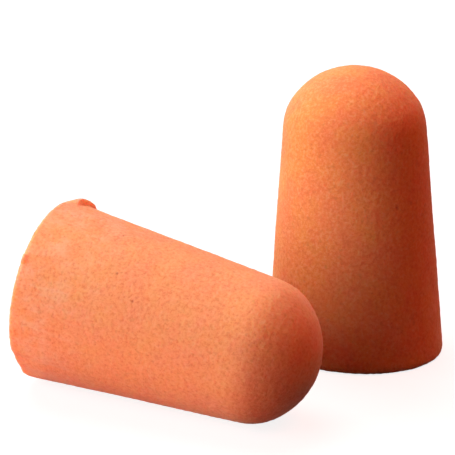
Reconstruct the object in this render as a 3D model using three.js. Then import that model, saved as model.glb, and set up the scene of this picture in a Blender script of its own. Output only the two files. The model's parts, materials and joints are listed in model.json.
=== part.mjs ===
// A pair of foam ear plugs, millimetres, +Z up.
//
// Each plug is one piece of moulded slow-recovery polyurethane foam: a flat base, a body that
// tapers towards the ear, a soft shoulder and a domed nose. Nothing is inside it and nothing
// holds the two together. One plug stands on its base, whose centre is the origin. The other
// has tipped over and rests on its side, next to the first.

import * as THREE from 'three';

// Driving dimensions of one plug, in millimetres.
const BASE_RADIUS = 7.3;
const BASE_EDGE_RADIUS = 0.4;
const SHOULDER_RADIUS = 5.8;
const SHOULDER_HEIGHT = 20.0;
const SHOULDER_SOFTENING = 0.8;
const DOME_RADIUS = 6.2;

// The base is trimmed a little off square, and the trim bends only the end of the body.
const TRIM_ANGLE = THREE.MathUtils.degToRad(3);
const TRIM_REACH = 3.0;

// Fineness of the faceted surface.
const SIDES = 48;
const CURVE_STEPS = 4;

// How the two plugs lie.
const STANDING_LEAN_HEADING = THREE.MathUtils.degToRad(169);
const LYING_BASE_X = -25.2;
const LYING_BASE_Y = -9.5;
const LYING_HEADING = THREE.MathUtils.degToRad(-26.6);
const LYING_ROLL = THREE.MathUtils.degToRad(-73.8);

// Half the angle of the tapering body, and the centre of the nose's sphere.
const HALF_TAPER = Math.atan((BASE_RADIUS - SHOULDER_RADIUS) / SHOULDER_HEIGHT);
const DOME_CENTRE = SHOULDER_HEIGHT - Math.sqrt(DOME_RADIUS ** 2 - SHOULDER_RADIUS ** 2);

const FOAM_COLOUR = 0xf27a3d;

// Radius of the straight taper at a height above the base.
function taperRadius(height) {
  return BASE_RADIUS - height * Math.tan(HALF_TAPER);
}

// Half of the plug's section, from the middle of the base to the tip of the nose.
function plugProfile() {
  const edgeCentre = BASE_RADIUS
    - BASE_EDGE_RADIUS * (1 + Math.sin(HALF_TAPER)) / Math.cos(HALF_TAPER);
  const shoulderAngle = Math.acos(SHOULDER_RADIUS / DOME_RADIUS);
  const domeStart = shoulderAngle + SHOULDER_SOFTENING / DOME_RADIUS;
  const taperEnd = SHOULDER_HEIGHT - SHOULDER_SOFTENING;

  const section = new THREE.Path();
  section.moveTo(0, 0);
  section.lineTo(edgeCentre, 0);
  section.absarc(edgeCentre, BASE_EDGE_RADIUS, BASE_EDGE_RADIUS, -Math.PI / 2, HALF_TAPER);
  section.lineTo(taperRadius(TRIM_REACH), TRIM_REACH);
  section.lineTo(taperRadius(taperEnd), taperEnd);
  section.quadraticCurveTo(
    SHOULDER_RADIUS,
    SHOULDER_HEIGHT,
    DOME_RADIUS * Math.cos(domeStart),
    DOME_CENTRE + DOME_RADIUS * Math.sin(domeStart),
  );
  section.absarc(0, DOME_CENTRE, DOME_RADIUS, domeStart, Math.PI / 2);

  const points = section.getPoints(CURVE_STEPS);
  points[points.length - 1].x = 0;
  return points;
}

// Tilts the base face towards +X and lets the tilt fade out up the body.
function trimBase(geometry) {
  const position = geometry.getAttribute('position');
  for (let i = 0; i < position.count; i += 1) {
    const fade = Math.max(0, 1 - position.getZ(i) / TRIM_REACH);
    position.setZ(i, position.getZ(i) + fade * Math.tan(TRIM_ANGLE) * position.getX(i));
  }
  geometry.computeVertexNormals();
}

// One plug with its axis on +Z and the middle of its base at the origin.
function makePlug(name) {
  const geometry = new THREE.LatheGeometry(plugProfile(), SIDES);
  geometry.rotateX(Math.PI / 2);
  trimBase(geometry);
  const foam = new THREE.MeshStandardMaterial({
    color: FOAM_COLOUR,
    roughness: 0.9,
    metalness: 0,
  });
  const plug = new THREE.Mesh(geometry, foam);
  plug.name = name;
  return plug;
}

// The first plug leans by the trim angle, so that its whole base is flat on the surface.
function standPlug() {
  const plug = makePlug('standing_plug');
  plug.rotation.y = TRIM_ANGLE;
  const heading = new THREE.Group();
  heading.rotation.z = STANDING_LEAN_HEADING;
  heading.add(plug);
  return heading;
}

// The second plug rests along one straight line of its taper, from base edge to shoulder.
function layPlug() {
  const plug = makePlug('lying_plug');
  plug.rotation.z = LYING_ROLL;
  const tipped = new THREE.Group();
  tipped.rotation.y = Math.PI / 2 + HALF_TAPER;
  tipped.add(plug);
  const heading = new THREE.Group();
  heading.rotation.z = LYING_HEADING;
  heading.position.set(LYING_BASE_X, LYING_BASE_Y, 0);
  heading.add(tipped);

  heading.updateMatrixWorld(true);
  const lowest = new THREE.Box3().setFromObject(heading, true).min.z;
  heading.position.z = -lowest;
  return heading;
}

const earPlugs = new THREE.Group();
earPlugs.add(standPlug());
earPlugs.add(layPlug());

export default earPlugs;
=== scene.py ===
# %% [markdown]
# # A pair of foam ear plugs
# Each plug is one piece of slow-recovery polyurethane foam: a flat base, a body that tapers
# towards the ear, a soft shoulder and a domed nose. One stands on its base, the other lies on
# its side. The construction, the places and the one joint are already settled in the packed
# frame, so this lesson only gives the two solids their real skin, finish, light and camera.

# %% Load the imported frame
import json
import math
from collections import namedtuple

import bmesh
import bpy
from mathutils import Euler, Matrix, Vector, noise


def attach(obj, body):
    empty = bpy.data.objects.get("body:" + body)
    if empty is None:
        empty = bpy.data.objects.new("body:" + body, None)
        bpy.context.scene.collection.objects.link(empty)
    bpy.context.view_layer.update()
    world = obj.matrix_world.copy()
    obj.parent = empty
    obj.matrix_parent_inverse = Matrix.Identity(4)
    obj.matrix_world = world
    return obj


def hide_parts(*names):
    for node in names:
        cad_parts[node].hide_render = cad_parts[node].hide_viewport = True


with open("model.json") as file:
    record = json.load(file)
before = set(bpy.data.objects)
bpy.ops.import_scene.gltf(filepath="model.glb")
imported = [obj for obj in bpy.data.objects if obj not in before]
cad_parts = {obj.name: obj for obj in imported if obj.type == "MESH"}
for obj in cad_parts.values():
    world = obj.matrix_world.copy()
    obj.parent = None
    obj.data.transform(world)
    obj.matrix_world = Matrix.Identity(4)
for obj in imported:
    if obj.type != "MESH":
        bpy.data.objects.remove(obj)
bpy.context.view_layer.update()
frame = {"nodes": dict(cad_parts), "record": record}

MM = 0.001
mounts = {mount["name"]: mount for mount in frame["record"]["mounts"]}
print("nodes:", sorted(frame["nodes"]), "mounts:", sorted(mounts))


# %% [markdown]
# ## Where each plug sits
# A plug is easiest to shape upright, with the middle of its base at the origin, and to set in
# place afterwards. The frame holds all that is needed for that. The base's mount gives the
# middle of the base and the way the base faces. The tip of the nose is the farthest point of
# the solid from there, and a line between the two is the plug's axis. The base is trimmed a
# little off square, so the way it faces also fixes how the plug is turned about its axis.

# %% Work out a plug's placement
class Seat:
    """Where a plug is: its placement, the inverse of that, and which way its base faces."""

    def __init__(self, node, mount):
        self.node = node
        base = Vector(mounts[mount]["pos_m"])
        facing = Vector(mounts[mount]["axis"])
        corners = [vertex.co for vertex in frame["nodes"][node].data.vertices]
        tip = max(corners, key=lambda corner: (corner - base).length)
        axis = (tip - base).normalized()
        across = (facing - facing.dot(axis) * axis).normalized()
        turn = Matrix((across, axis.cross(across), axis)).transposed()
        length = (tip - base).length
        self.placement = Matrix.Translation(base) @ turn.to_4x4()
        self.inverse = self.placement.inverted()
        self.facing = turn.transposed() @ facing
        slant = math.degrees(math.acos(-self.facing.z))
        print(f"{node}: {length / MM:.2f} mm long, base {slant:.2f} degrees off square")


standing_seat = Seat("standing_plug", "standing_plug_base")
lying_seat = Seat("lying_plug", "lying_plug_base")

# %% [markdown]
# ## Camera
# The pair is seen from a little above, through a long lens, as a product shot is. The long
# lens keeps the two plugs the same size although one is nearer. The camera is tipped a little
# to one side as well, which is why the standing plug seems to lean.

# %% Place the camera
CAMERA_ELEVATION = math.radians(18.88)
CAMERA_ROLL = math.radians(2.41)
CAMERA_DISTANCE = 334.0 * MM
CAMERA_LENS = 316.5
SENSOR = 36.0
AIM = Vector((-11.05, 3.01, 8.80)) * MM

camera_data = bpy.data.cameras.new("camera")
camera_data.lens = CAMERA_LENS
camera_data.sensor_width = SENSOR
camera = bpy.data.objects.new("camera", camera_data)
bpy.context.scene.collection.objects.link(camera)
look = Euler((math.pi / 2 - CAMERA_ELEVATION, 0, 0)).to_matrix()
roll = Matrix.Rotation(CAMERA_ROLL, 3, "Z")
camera.rotation_euler = (look @ roll).to_euler()
camera.location = AIM + look @ Vector((0, 0, CAMERA_DISTANCE))
bpy.context.scene.camera = camera
print("camera at", [round(v / MM, 1) for v in camera.location], "mm")

# %% [markdown]
# ## Half of the section
# A plug is round, so half of its section says everything about its form. It is drawn as a
# few points: a foot below the base, so that there is something to trim off, then the straight
# taper, a short soft bend at the shoulder, and the arc of the nose up to the axis.

# %% Draw the half section
BASE_RADIUS = 7.3 * MM
SHOULDER_RADIUS = 5.8 * MM
SHOULDER_HEIGHT = 20.0 * MM
SHOULDER_SOFTENING = 0.9 * MM
NOSE_RADIUS = 6.2 * MM
FOOT = -1.0 * MM
NOSE_STEPS = 14
SOFT_STEPS = 4

nose_centre = SHOULDER_HEIGHT - math.sqrt(NOSE_RADIUS**2 - SHOULDER_RADIUS**2)
taper = (BASE_RADIUS - SHOULDER_RADIUS) / SHOULDER_HEIGHT


def taper_point(height):
    return Vector((BASE_RADIUS - taper * height, 0, height))


def nose_point(angle):
    return Vector((NOSE_RADIUS * math.cos(angle), 0, nose_centre + NOSE_RADIUS * math.sin(angle)))


def half_section():
    """Foot, taper, softened shoulder and nose, as points in the XZ plane."""
    start = math.acos(SHOULDER_RADIUS / NOSE_RADIUS) + SHOULDER_SOFTENING / NOSE_RADIUS
    below = taper_point(SHOULDER_HEIGHT - SHOULDER_SOFTENING)
    corner = taper_point(SHOULDER_HEIGHT)
    above = nose_point(start)
    points = [Vector((0, 0, FOOT)), taper_point(FOOT), below]
    for step in range(1, SOFT_STEPS):
        share = step / SOFT_STEPS
        points.append(below.lerp(corner, share).lerp(corner.lerp(above, share), share))
    for step in range(NOSE_STEPS):
        points.append(nose_point(start + (math.pi / 2 - start) * step / NOSE_STEPS))
    points.append(Vector((0, 0, nose_centre + NOSE_RADIUS)))
    return points


print("section points:", len(half_section()))

# %% [markdown]
# ## Turning and trimming
# Spin sweeps the half section round the axis, as a lathe would. The foot is then sliced off
# with a plane that faces as the real base does, and the hole is closed with one face. A foam
# edge is never sharp, so the rim of that face is bevelled.

# %% Turn the section and trim the base
TURN_STEPS = 96
RIM_ROUNDING = 0.4 * MM
RIM_SEGMENTS = 4
WELD = 0.001 * MM


def slice_off(skin, point, facing):
    """Cuts the skin with a plane, drops what is outside it and closes the hole."""
    everything = skin.verts[:] + skin.edges[:] + skin.faces[:]
    cut = bmesh.ops.bisect_plane(
        skin, geom=everything, plane_co=point, plane_no=facing, clear_outer=True
    )
    rim = [part for part in cut["geom_cut"] if isinstance(part, bmesh.types.BMEdge)]
    bmesh.ops.edgeloop_fill(skin, edges=rim)
    return rim


def turned_plug(facing):
    """The plug's plain form, upright, with its base trimmed and its rim rounded."""
    skin = bmesh.new()
    points = [skin.verts.new(point) for point in half_section()]
    lines = [skin.edges.new(pair) for pair in zip(points, points[1:])]
    bmesh.ops.spin(
        skin, geom=points + lines, axis=(0, 0, 1), cent=(0, 0, 0),
        angle=math.tau, steps=TURN_STEPS, use_merge=True,
    )
    bmesh.ops.remove_doubles(skin, verts=skin.verts[:], dist=WELD)
    rim = slice_off(skin, (0, 0, 0), facing)
    bmesh.ops.bevel(
        skin, geom=rim, offset=RIM_ROUNDING, segments=RIM_SEGMENTS,
        profile=0.5, affect="EDGES", material=-1,
    )
    bmesh.ops.recalc_face_normals(skin, faces=skin.faces[:])
    return skin


plain_form = turned_plug(standing_seat.facing)
print(f"plain form: {len(plain_form.faces)} faces, {plain_form.calc_volume() / MM**3:.0f} cubic mm")
plain_form.free()

# %% [markdown]
# ## An even skin
# The turned form has long faces on its sides and thin ones at the tip, and neither can carry
# the foam's small cells. A voxel remesh lays an even net of squares over the form instead, a
# tenth of a millimetre or so to a side. A few rounds of smoothing take out its slight steps.

# %% Lay an even net over the form
NET_SIZE = 0.13 * MM
SMOOTHING_ROUNDS = 2
SMOOTHING_FACTOR = 0.5


def even_skin(name, form):
    """A mesh object from the plain form, remeshed into small even faces."""
    mesh = bpy.data.meshes.new(name)
    form.to_mesh(mesh)
    form.free()
    plain = bpy.data.objects.new(name, mesh)
    bpy.context.scene.collection.objects.link(plain)
    net = plain.modifiers.new("net", "REMESH")
    net.mode = "VOXEL"
    net.voxel_size = NET_SIZE
    net.use_smooth_shade = True
    evaluated = plain.evaluated_get(bpy.context.evaluated_depsgraph_get())
    skin = bmesh.new()
    skin.from_mesh(evaluated.to_mesh())
    evaluated.to_mesh_clear()
    plain.modifiers.clear()
    for _ in range(SMOOTHING_ROUNDS):
        bmesh.ops.smooth_vert(
            skin, verts=skin.verts[:], factor=SMOOTHING_FACTOR,
            use_axis_x=True, use_axis_y=True, use_axis_z=True,
        )
    print(f"{name}: {len(skin.faces)} faces in the net")
    return plain, skin


# %% [markdown]
# ## Marks on the rim
# The rim of a trimmed base is seldom quite clean. On the lying plug a lip stands off the side at
# one place, a small burr at another, and at a third the rim is pressed a little flat. The marks
# could be shapes of their own, but a push on the net's corners leaves the skin in one piece. Each
# mark has a bearing about the plug's axis and a width, both in degrees. Its push grows from the
# rim up to one height, holds up to the next, and is gone at its reach.

# %% Push the rim out or in at its marks
Mark = namedtuple("Mark", "bearing width grow hold reach push")
LIP = Mark(-134.0, 20.0, grow=0.95 * MM, hold=1.0 * MM, reach=1.25 * MM, push=0.46 * MM)
BURR = Mark(-54.0, 4.0, grow=0.0, hold=0.45 * MM, reach=0.9 * MM, push=0.14 * MM)
FLAT = Mark(25.0, 16.0, grow=0.0, hold=1.2 * MM, reach=3.0 * MM, push=-0.20 * MM)
RIM_MARGIN = 0.1 * MM
RIM_INNER = 6.5 * MM
RIM_OUTER = 7.0 * MM
MARK_CORE = 0.5


def fade(value, start, end):
    """Goes softly from 0 at the start to 1 at the end."""
    share = min(max((value - start) / (end - start), 0.0), 1.0)
    return share * share * (3.0 - 2.0 * share)


def rim_push(point, marks):
    """How far the marks push a point of the upright plug away from its axis."""
    bearing = math.degrees(math.atan2(point.y, point.x))
    push = 0.0
    for mark in marks:
        off = abs((bearing - mark.bearing + 180.0) % 360.0 - 180.0)
        beside = fade(off, mark.width, mark.width * MARK_CORE)
        above = fade(point.z, -RIM_MARGIN, mark.grow)
        below = fade(point.z, mark.reach, mark.hold)
        push += mark.push * beside * above * below
    return push * fade(math.hypot(point.x, point.y), RIM_INNER, RIM_OUTER)


lip_bearing = math.radians(LIP.bearing)
lip_top = Vector((math.cos(lip_bearing), math.sin(lip_bearing), 0.0)) * BASE_RADIUS
lip_top.z = LIP.hold
print(f"the lip stands out by {rim_push(lip_top, [LIP]) / MM:.2f} mm")

# %% [markdown]
# ## The foam's relief
# Moulded foam is never quite true. It has broad soft dents, a fine orange peel, a grain of
# closed cells a few tenths of a millimetre across, and here and there a burst bubble that
# leaves a pinhole. The trimmed base has no moulded skin, so its cells lie open, side by side.
# Each of these is one layer of noise with its own size and depth, and every corner of the net
# is moved along its own normal by their sum.

# %% Describe the relief of the skin
DENT_SIZE = 7.0 * MM
DENT_DEPTH = 0.050 * MM
PEEL_SIZE = 1.5 * MM
PEEL_DEPTH = 0.016 * MM
CELL_SIZE = 0.36 * MM
CELL_DEPTH = 0.028 * MM
Pits = namedtuple("Pits", "spacing radius depth share")
PINHOLES = Pits(spacing=1.7 * MM, radius=0.14 * MM, depth=0.09 * MM, share=0.25)
OPEN_CELLS = Pits(spacing=0.48 * MM, radius=0.24 * MM, depth=0.06 * MM, share=1.0)
OPEN_CELL_SHADE = 0.45
DRAW_SCALE = 7.31
SMALLEST_PIT = 0.6
PIT_VARIETY = 0.8


def ripple(point, size):
    """Smooth noise from -1 to 1 with features of that size."""
    return noise.noise(point / size)


def pit(point, pits):
    """How far into a pit a point is, from 0 outside to 1 in the middle."""
    distances, centres = noise.voronoi(point / pits.spacing)
    chance = (noise.cell(centres[0] * DRAW_SCALE) + 1.0) / 2.0
    if chance > pits.share:
        return 0.0
    radius = pits.radius * (SMALLEST_PIT + PIT_VARIETY * chance / pits.share)
    return max(0.0, 1.0 - distances[0] * pits.spacing / radius)


def relief(point, cut):
    """Height of the skin over the plain form, and how deep in a pit the point is."""
    height = DENT_DEPTH * ripple(point, DENT_SIZE)
    height += PEEL_DEPTH * ripple(point, PEEL_SIZE)
    height += CELL_DEPTH * ripple(point, CELL_SIZE)
    pinhole = pit(point, PINHOLES)
    height -= PINHOLES.depth * pinhole
    open_cell = cut * pit(point, OPEN_CELLS) if cut > 0.0 else 0.0
    height -= OPEN_CELLS.depth * open_cell
    return height, max(pinhole, OPEN_CELL_SHADE * open_cell)


side_height, side_pit = relief(taper_point(SHOULDER_HEIGHT / 2), 0.0)
print(f"relief half-way up the side: {side_height / MM:.3f} mm, pit {side_pit:.2f}")

# %% [markdown]
# ## Foam finish
# Foam is matt and lets light a little way in, so its shadows turn red and soft. Its colour is
# not even. It drifts between a pinker and a yellower orange over a few millimetres. The cells
# give it a fine grain, partly its own tone and partly painted: pale walls as painted light and
# deep hollows as painted shade. A few larger specks are ochre, and the pits are painted dark as
# painted shade. Near the base, where fingers roll the plug, it is chalkier, with faint pale
# streaks along the axis. The lying plug is painted paler all over, as painted light.

# %% Helpers for material nodes
class Nodes:
    """A short way to add nodes to one material and link them."""

    def __init__(self, name):
        self.material = bpy.data.materials.new(name)
        self.material.use_nodes = True
        self.tree = self.material.node_tree
        self.tree.nodes.clear()

    def add(self, kind, settings=None, **sockets):
        node = self.tree.nodes.new(kind)
        for key, value in (settings or {}).items():
            setattr(node, key, value)
        for key, value in sockets.items():
            self.put(node, key.replace("_", " "), value)
        return node

    def put(self, node, socket, value):
        target = node.inputs[int(socket)] if socket.isdigit() else node.inputs[socket]
        if isinstance(value, bpy.types.NodeSocket):
            self.tree.links.new(value, target)
        else:
            target.default_value = value

    def noise(self, where, size, detail=2.0, roughness=0.5):
        node = self.add(
            "ShaderNodeTexNoise", Vector=where, Scale=1.0 / size, Detail=detail,
            Roughness=roughness,
        )
        return node.outputs["Fac"]

    def spread(self, value, low, high, to_low=0.0, to_high=1.0):
        node = self.add("ShaderNodeMapRange")
        for socket, part in zip(("Value", "From Min", "From Max", "To Min", "To Max"),
                                (value, low, high, to_low, to_high)):
            self.put(node, socket, part)
        return node.outputs["Result"]

    def math(self, operation, first, second):
        node = self.add("ShaderNodeMath", {"operation": operation})
        self.put(node, "0", first)
        self.put(node, "1", second)
        return node.outputs[0]

    def mix(self, share, first, second):
        node = self.add("ShaderNodeMix", {"data_type": "RGBA"})
        self.put(node, "0", share)
        self.put(node, "6", first)
        self.put(node, "7", second)
        return node.outputs[2]


# %% [markdown]
# ## The colours in the foam
# The finish is mixed in layers, each laid over the last: the slow drift of the orange, a paler
# cast over the whole plug that is painted light, the chalk and the streaks of handling, the paler
# cut base, then the grain's walls and hollows, which are partly painted light and shade, the
# specks, and the pits, which are painted shade. Every pattern is noise on Object coordinates,
# turned to the plug's own axis by a Mapping node, so it needs no picture and shows no seam.

# %% Mix the foam finish
PINK_ORANGE = (0.860, 0.292, 0.082, 1.0)
YELLOW_ORANGE = (0.860, 0.348, 0.069, 1.0)
PALE_WALL = (0.930, 0.560, 0.290, 1.0)
DEEP_HOLLOW = (0.640, 0.146, 0.030, 1.0)
OCHRE = (0.620, 0.256, 0.066, 1.0)
CHALK = (0.880, 0.580, 0.335, 1.0)
PIT_SHADE = (0.420, 0.080, 0.022, 1.0)
DRIFT_SIZE = 2.8 * MM
GRAIN_SIZE = 0.25 * MM
SPECK_SIZE = 0.45 * MM
CHALK_SIZE = 1.6 * MM
STREAK_SIZE = 0.40 * MM
STREAK_STRETCH = 0.12
HANDLED_LOW = 3.0 * MM
HANDLED_HIGH = 9.0 * MM
DRIFT_RANGE = (0.38, 0.62)
CHALK_RANGE = (0.42, 0.68)
CHALK_STRENGTH = 0.70
STREAK_RANGE = (0.54, 0.70)
STREAK_STRENGTH = 0.45
CUT_PALENESS = 0.25
WALL_RANGE = (0.50, 0.72)
HOLLOW_RANGE = (0.50, 0.28)
GRAIN_STRENGTH = 0.55
SPECK_RANGE = (0.64, 0.74)
SPECK_STRENGTH = 0.35
PIT_RANGE = (0.0, 0.5)
PIT_STRENGTH = 0.6
BUMP_STRENGTH = 0.8
BUMP_HEIGHT = 0.07 * MM
FOAM_ROUGHNESS = 0.9
FOAM_SPECULAR = 1.0
LIGHT_INSIDE = 0.8
LIGHT_REACH = (1.0, 0.24, 0.10)
LIGHT_REACH_SCALE = 1.8 * MM
SHEEN = 0.12
SHEEN_ROUGHNESS = 0.5


def foam_finish(name, seat, painted_light_paleness, handling):
    """The orange foam, with its patterns set square to the plug."""
    nodes = Nodes(name)
    coordinates = nodes.add("ShaderNodeTexCoord").outputs["Object"]
    own = nodes.add("ShaderNodeMapping", Vector=coordinates)
    own.inputs["Location"].default_value = seat.inverse.translation
    own.inputs["Rotation"].default_value = seat.inverse.to_euler()
    where = own.outputs["Vector"]
    height = nodes.add("ShaderNodeSeparateXYZ", Vector=where).outputs["Z"]
    drawn_out = nodes.add("ShaderNodeMapping", Vector=where)
    drawn_out.inputs["Scale"].default_value = (1.0, 1.0, STREAK_STRETCH)
    cut = nodes.add("ShaderNodeAttribute", {"attribute_name": "cut"}).outputs["Fac"]
    pits = nodes.add("ShaderNodeAttribute", {"attribute_name": "pit"}).outputs["Fac"]

    drift = nodes.spread(nodes.noise(where, DRIFT_SIZE, detail=3.0), *DRIFT_RANGE)
    colour = nodes.mix(drift, PINK_ORANGE, YELLOW_ORANGE)

    # Painted light: by this share the whole plug is painted paler, as if more light fell on it.
    colour = nodes.mix(painted_light_paleness, colour, CHALK)
    handled = nodes.spread(height, HANDLED_LOW, HANDLED_HIGH, handling, 0.0)
    chalk_noise = nodes.noise(where, CHALK_SIZE, detail=3.0)
    chalk = nodes.spread(chalk_noise, *CHALK_RANGE, to_high=CHALK_STRENGTH)
    colour = nodes.mix(nodes.math("MULTIPLY", chalk, handled), colour, CHALK)
    streak_noise = nodes.noise(drawn_out.outputs["Vector"], STREAK_SIZE)
    streak = nodes.spread(streak_noise, *STREAK_RANGE, to_high=STREAK_STRENGTH)
    colour = nodes.mix(nodes.math("MULTIPLY", streak, handled), colour, CHALK)
    colour = nodes.mix(nodes.math("MULTIPLY", cut, CUT_PALENESS), colour, CHALK)

    # The same grain noise is the bump below, so its walls are painted paler and its hollows darker:
    # painted light and shade, over the foam's own uneven tone.
    grain = nodes.noise(where, GRAIN_SIZE, detail=3.0, roughness=0.7)
    walls = nodes.spread(grain, *WALL_RANGE, to_high=GRAIN_STRENGTH)
    colour = nodes.mix(walls, colour, PALE_WALL)
    hollows = nodes.spread(grain, *HOLLOW_RANGE, to_high=GRAIN_STRENGTH)
    colour = nodes.mix(hollows, colour, DEEP_HOLLOW)
    speck_noise = nodes.noise(where, SPECK_SIZE, detail=1.0)
    specks = nodes.spread(speck_noise, *SPECK_RANGE, to_high=SPECK_STRENGTH)
    colour = nodes.mix(specks, colour, OCHRE)
    # The pinholes and open cells are painted darker: painted shade in the pits.
    shade = nodes.spread(pits, *PIT_RANGE, to_high=PIT_STRENGTH)
    colour = nodes.mix(shade, colour, PIT_SHADE)

    bump = nodes.add("ShaderNodeBump", Strength=BUMP_STRENGTH, Distance=BUMP_HEIGHT, Height=grain)
    shader = nodes.add("ShaderNodeBsdfPrincipled")
    shader.inputs["Roughness"].default_value = FOAM_ROUGHNESS
    shader.inputs["Specular IOR Level"].default_value = FOAM_SPECULAR
    shader.inputs["Subsurface Weight"].default_value = LIGHT_INSIDE
    shader.inputs["Subsurface Radius"].default_value = LIGHT_REACH
    shader.inputs["Subsurface Scale"].default_value = LIGHT_REACH_SCALE
    shader.inputs["Sheen Weight"].default_value = SHEEN
    shader.inputs["Sheen Roughness"].default_value = SHEEN_ROUGHNESS
    nodes.put(shader, "Base Color", colour)
    nodes.put(shader, "Normal", bump.outputs["Normal"])
    nodes.add("ShaderNodeOutputMaterial", Surface=shader.outputs[0])
    return nodes.material


# %% [markdown]
# ## Making a plug
# The parts above come together here: turn and trim, lay the net, push the rim, add the relief,
# and set the plug in its place. Its object stays at the origin, and its place is in its mesh. Each
# plug takes its relief from a block of foam of its own, so that the two are not alike.

# %% Make both plugs
CUT_STARTS = 0.75
CUT_FULL = 0.95


def make_plug(name, seat, body, marks, foam_block, painted_light_paleness, handling):
    """One finished plug, riding on its body and standing for its plain solid."""
    plug, skin = even_skin(name, turned_plug(seat.facing))
    pit_layer = skin.verts.layers.float.new("pit")
    cut_layer = skin.verts.layers.float.new("cut")
    for vertex in skin.verts:
        outwards = Vector((vertex.co.x, vertex.co.y, 0.0)).normalized()
        vertex.co += outwards * rim_push(vertex.co, marks)
    skin.normal_update()
    moves = []
    for vertex in skin.verts:
        cut = fade(vertex.normal.dot(seat.facing), CUT_STARTS, CUT_FULL)
        height, depth = relief(vertex.co + foam_block, cut)
        vertex[pit_layer] = depth
        vertex[cut_layer] = cut
        moves.append(vertex.normal * height)
    for vertex, move in zip(skin.verts, moves):
        vertex.co += move
    bmesh.ops.transform(skin, matrix=seat.placement, verts=skin.verts[:])
    skin.to_mesh(plug.data)
    skin.free()
    plug.data.shade_smooth()
    plug.data.materials.append(foam_finish(name + "_foam", seat, painted_light_paleness, handling))
    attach(plug, body)
    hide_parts(seat.node)
    print(f"{name}: {len(plug.data.vertices)} corners on {body}")


FIRST_BLOCK = Vector((0.0, 0.0, 0.0))
SECOND_BLOCK = Vector((0.0, 0.0, 72.0)) * MM
make_plug(
    "standing_foam_plug", standing_seat, body="standing", marks=[],
    foam_block=FIRST_BLOCK, painted_light_paleness=0.0, handling=0.3,
)
# The lying plug is painted paler all over: painted light, not a different foam.
make_plug(
    "lying_foam_plug", lying_seat, body="lying", marks=[LIP, BURR, FLAT],
    foam_block=SECOND_BLOCK, painted_light_paleness=0.30, handling=1.0,
)

# %% [markdown]
# ## Floor
# The floor is a plain pale sheet. To the camera it is close to white, and what is left of its
# own shading keeps the plugs' shadow. For every other ray it does what a photographer's cards
# do: on the left a warm card throws light up under the lying plug, and on the right a black one
# swallows it, which deepens the shade at the foot of the standing plug.

# %% Lay the floor
FLOOR_SIZE = 3.0
bpy.context.view_layer.update()
floor_form = bmesh.new()
bmesh.ops.create_grid(floor_form, x_segments=1, y_segments=1, size=FLOOR_SIZE / 2)
floor_mesh = bpy.data.meshes.new("floor")
floor_form.to_mesh(floor_mesh)
floor_form.free()
floor = bpy.data.objects.new("floor", floor_mesh)
bpy.context.scene.collection.objects.link(floor)

WARM_CARD = (0.75, 0.22, 0.13, 1.0)
BLACK_CARD = (0.04, 0.03, 0.03, 1.0)
WARM_CARD_EDGE = -13.0 * MM
BLACK_CARD_EDGE = -3.0 * MM
PAPER = (0.30, 0.30, 0.30, 1.0)
PAPER_GLOW = 0.85
floor_nodes = Nodes("floor_sheet")
rays = floor_nodes.add("ShaderNodeLightPath").outputs
mirrored = floor_nodes.math("MAXIMUM", rays["Is Glossy Ray"], rays["Is Transmission Ray"])
seen = floor_nodes.math("MAXIMUM", rays["Is Camera Ray"], mirrored)
floor_place = floor_nodes.add("ShaderNodeTexCoord").outputs["Object"]
floor_across = floor_nodes.add("ShaderNodeSeparateXYZ", Vector=floor_place).outputs["X"]
card = floor_nodes.spread(floor_across, WARM_CARD_EDGE, BLACK_CARD_EDGE)
card_colour = floor_nodes.mix(card, WARM_CARD, BLACK_CARD)
dull = floor_nodes.add("ShaderNodeBsdfDiffuse", Color=card_colour)
paper = floor_nodes.add("ShaderNodeBsdfDiffuse", Color=PAPER)
glow = floor_nodes.add("ShaderNodeEmission", Strength=PAPER_GLOW)
white = floor_nodes.add("ShaderNodeAddShader")
floor_nodes.put(white, "0", paper.outputs[0])
floor_nodes.put(white, "1", glow.outputs[0])
which = floor_nodes.add("ShaderNodeMixShader", Fac=seen)
floor_nodes.put(which, "1", dull.outputs[0])
floor_nodes.put(which, "2", white.outputs[0])
floor_nodes.add("ShaderNodeOutputMaterial", Surface=which.outputs[0])
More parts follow.
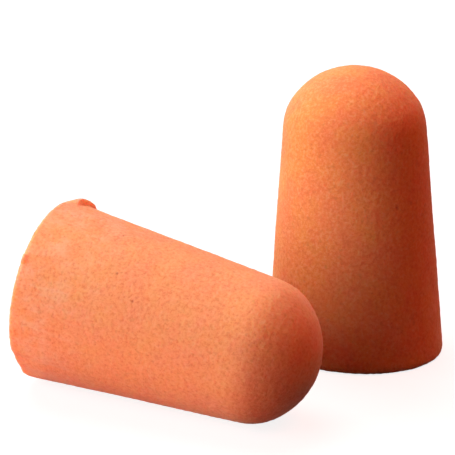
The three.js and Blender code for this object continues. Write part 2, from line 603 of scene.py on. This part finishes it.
floor.data.materials.append(floor_nodes.material)
print(f"floor: {FLOOR_SIZE:.1f} m square")

# %% [markdown]
# ## Lamps
# A large low key lamp on the left shapes both plugs, and a weak one near the floor, in front on
# the left, lifts the side of the lying one. A lamp high behind them lights their top edges. On
# the right there is only a deep red-orange fill, and the room itself is faintly red: together
# they keep the shade warm. They also colour it, and under white light alone it is less red.

# %% Set the lamps
CENTRE = Vector((-10, -6, 9)) * MM
LAMP_DISTANCE = 0.6
WHITE = (1.0, 1.0, 1.0)
SALMON = (1.0, 0.55, 0.42)
EMBER = (1.0, 0.18, 0.05)
ROOM_COLOUR = (1.0, 0.12, 0.05, 1.0)
ROOM_STRENGTH = 0.16


def softbox(name, azimuth, elevation, size, power, colour):
    """A square lamp that faces the pair. Azimuth 0 is behind the camera, 90 is to the right."""
    turn = math.radians(azimuth)
    tilt = math.radians(elevation)
    level = math.cos(tilt)
    away = Vector((math.sin(turn) * level, -math.cos(turn) * level, math.sin(tilt)))
    data = bpy.data.lights.new(name, "AREA")
    data.shape = "SQUARE"
    data.size = size
    data.energy = power
    data.color = colour
    lamp = bpy.data.objects.new(name, data)
    bpy.context.scene.collection.objects.link(lamp)
    lamp.location = CENTRE + away * LAMP_DISTANCE
    lamp.rotation_euler = away.to_track_quat("Z", "Y").to_euler()
    print(f"{name}: {power} W, {size / MM:.0f} mm square")


softbox("key", azimuth=-70, elevation=19, size=0.50, power=3.5, colour=WHITE)
softbox("low_front", azimuth=-40, elevation=4, size=0.35, power=0.6, colour=SALMON)
softbox("back", azimuth=-150, elevation=60, size=0.45, power=2.4, colour=WHITE)
softbox("warm_fill", azimuth=108, elevation=58, size=0.45, power=1.8, colour=EMBER)

world = bpy.data.worlds.new("room")
world.use_nodes = True
world.node_tree.nodes["Background"].inputs["Color"].default_value = ROOM_COLOUR
world.node_tree.nodes["Background"].inputs["Strength"].default_value = ROOM_STRENGTH
bpy.context.scene.world = world
bpy.context.scene.view_settings.view_transform = "Standard"
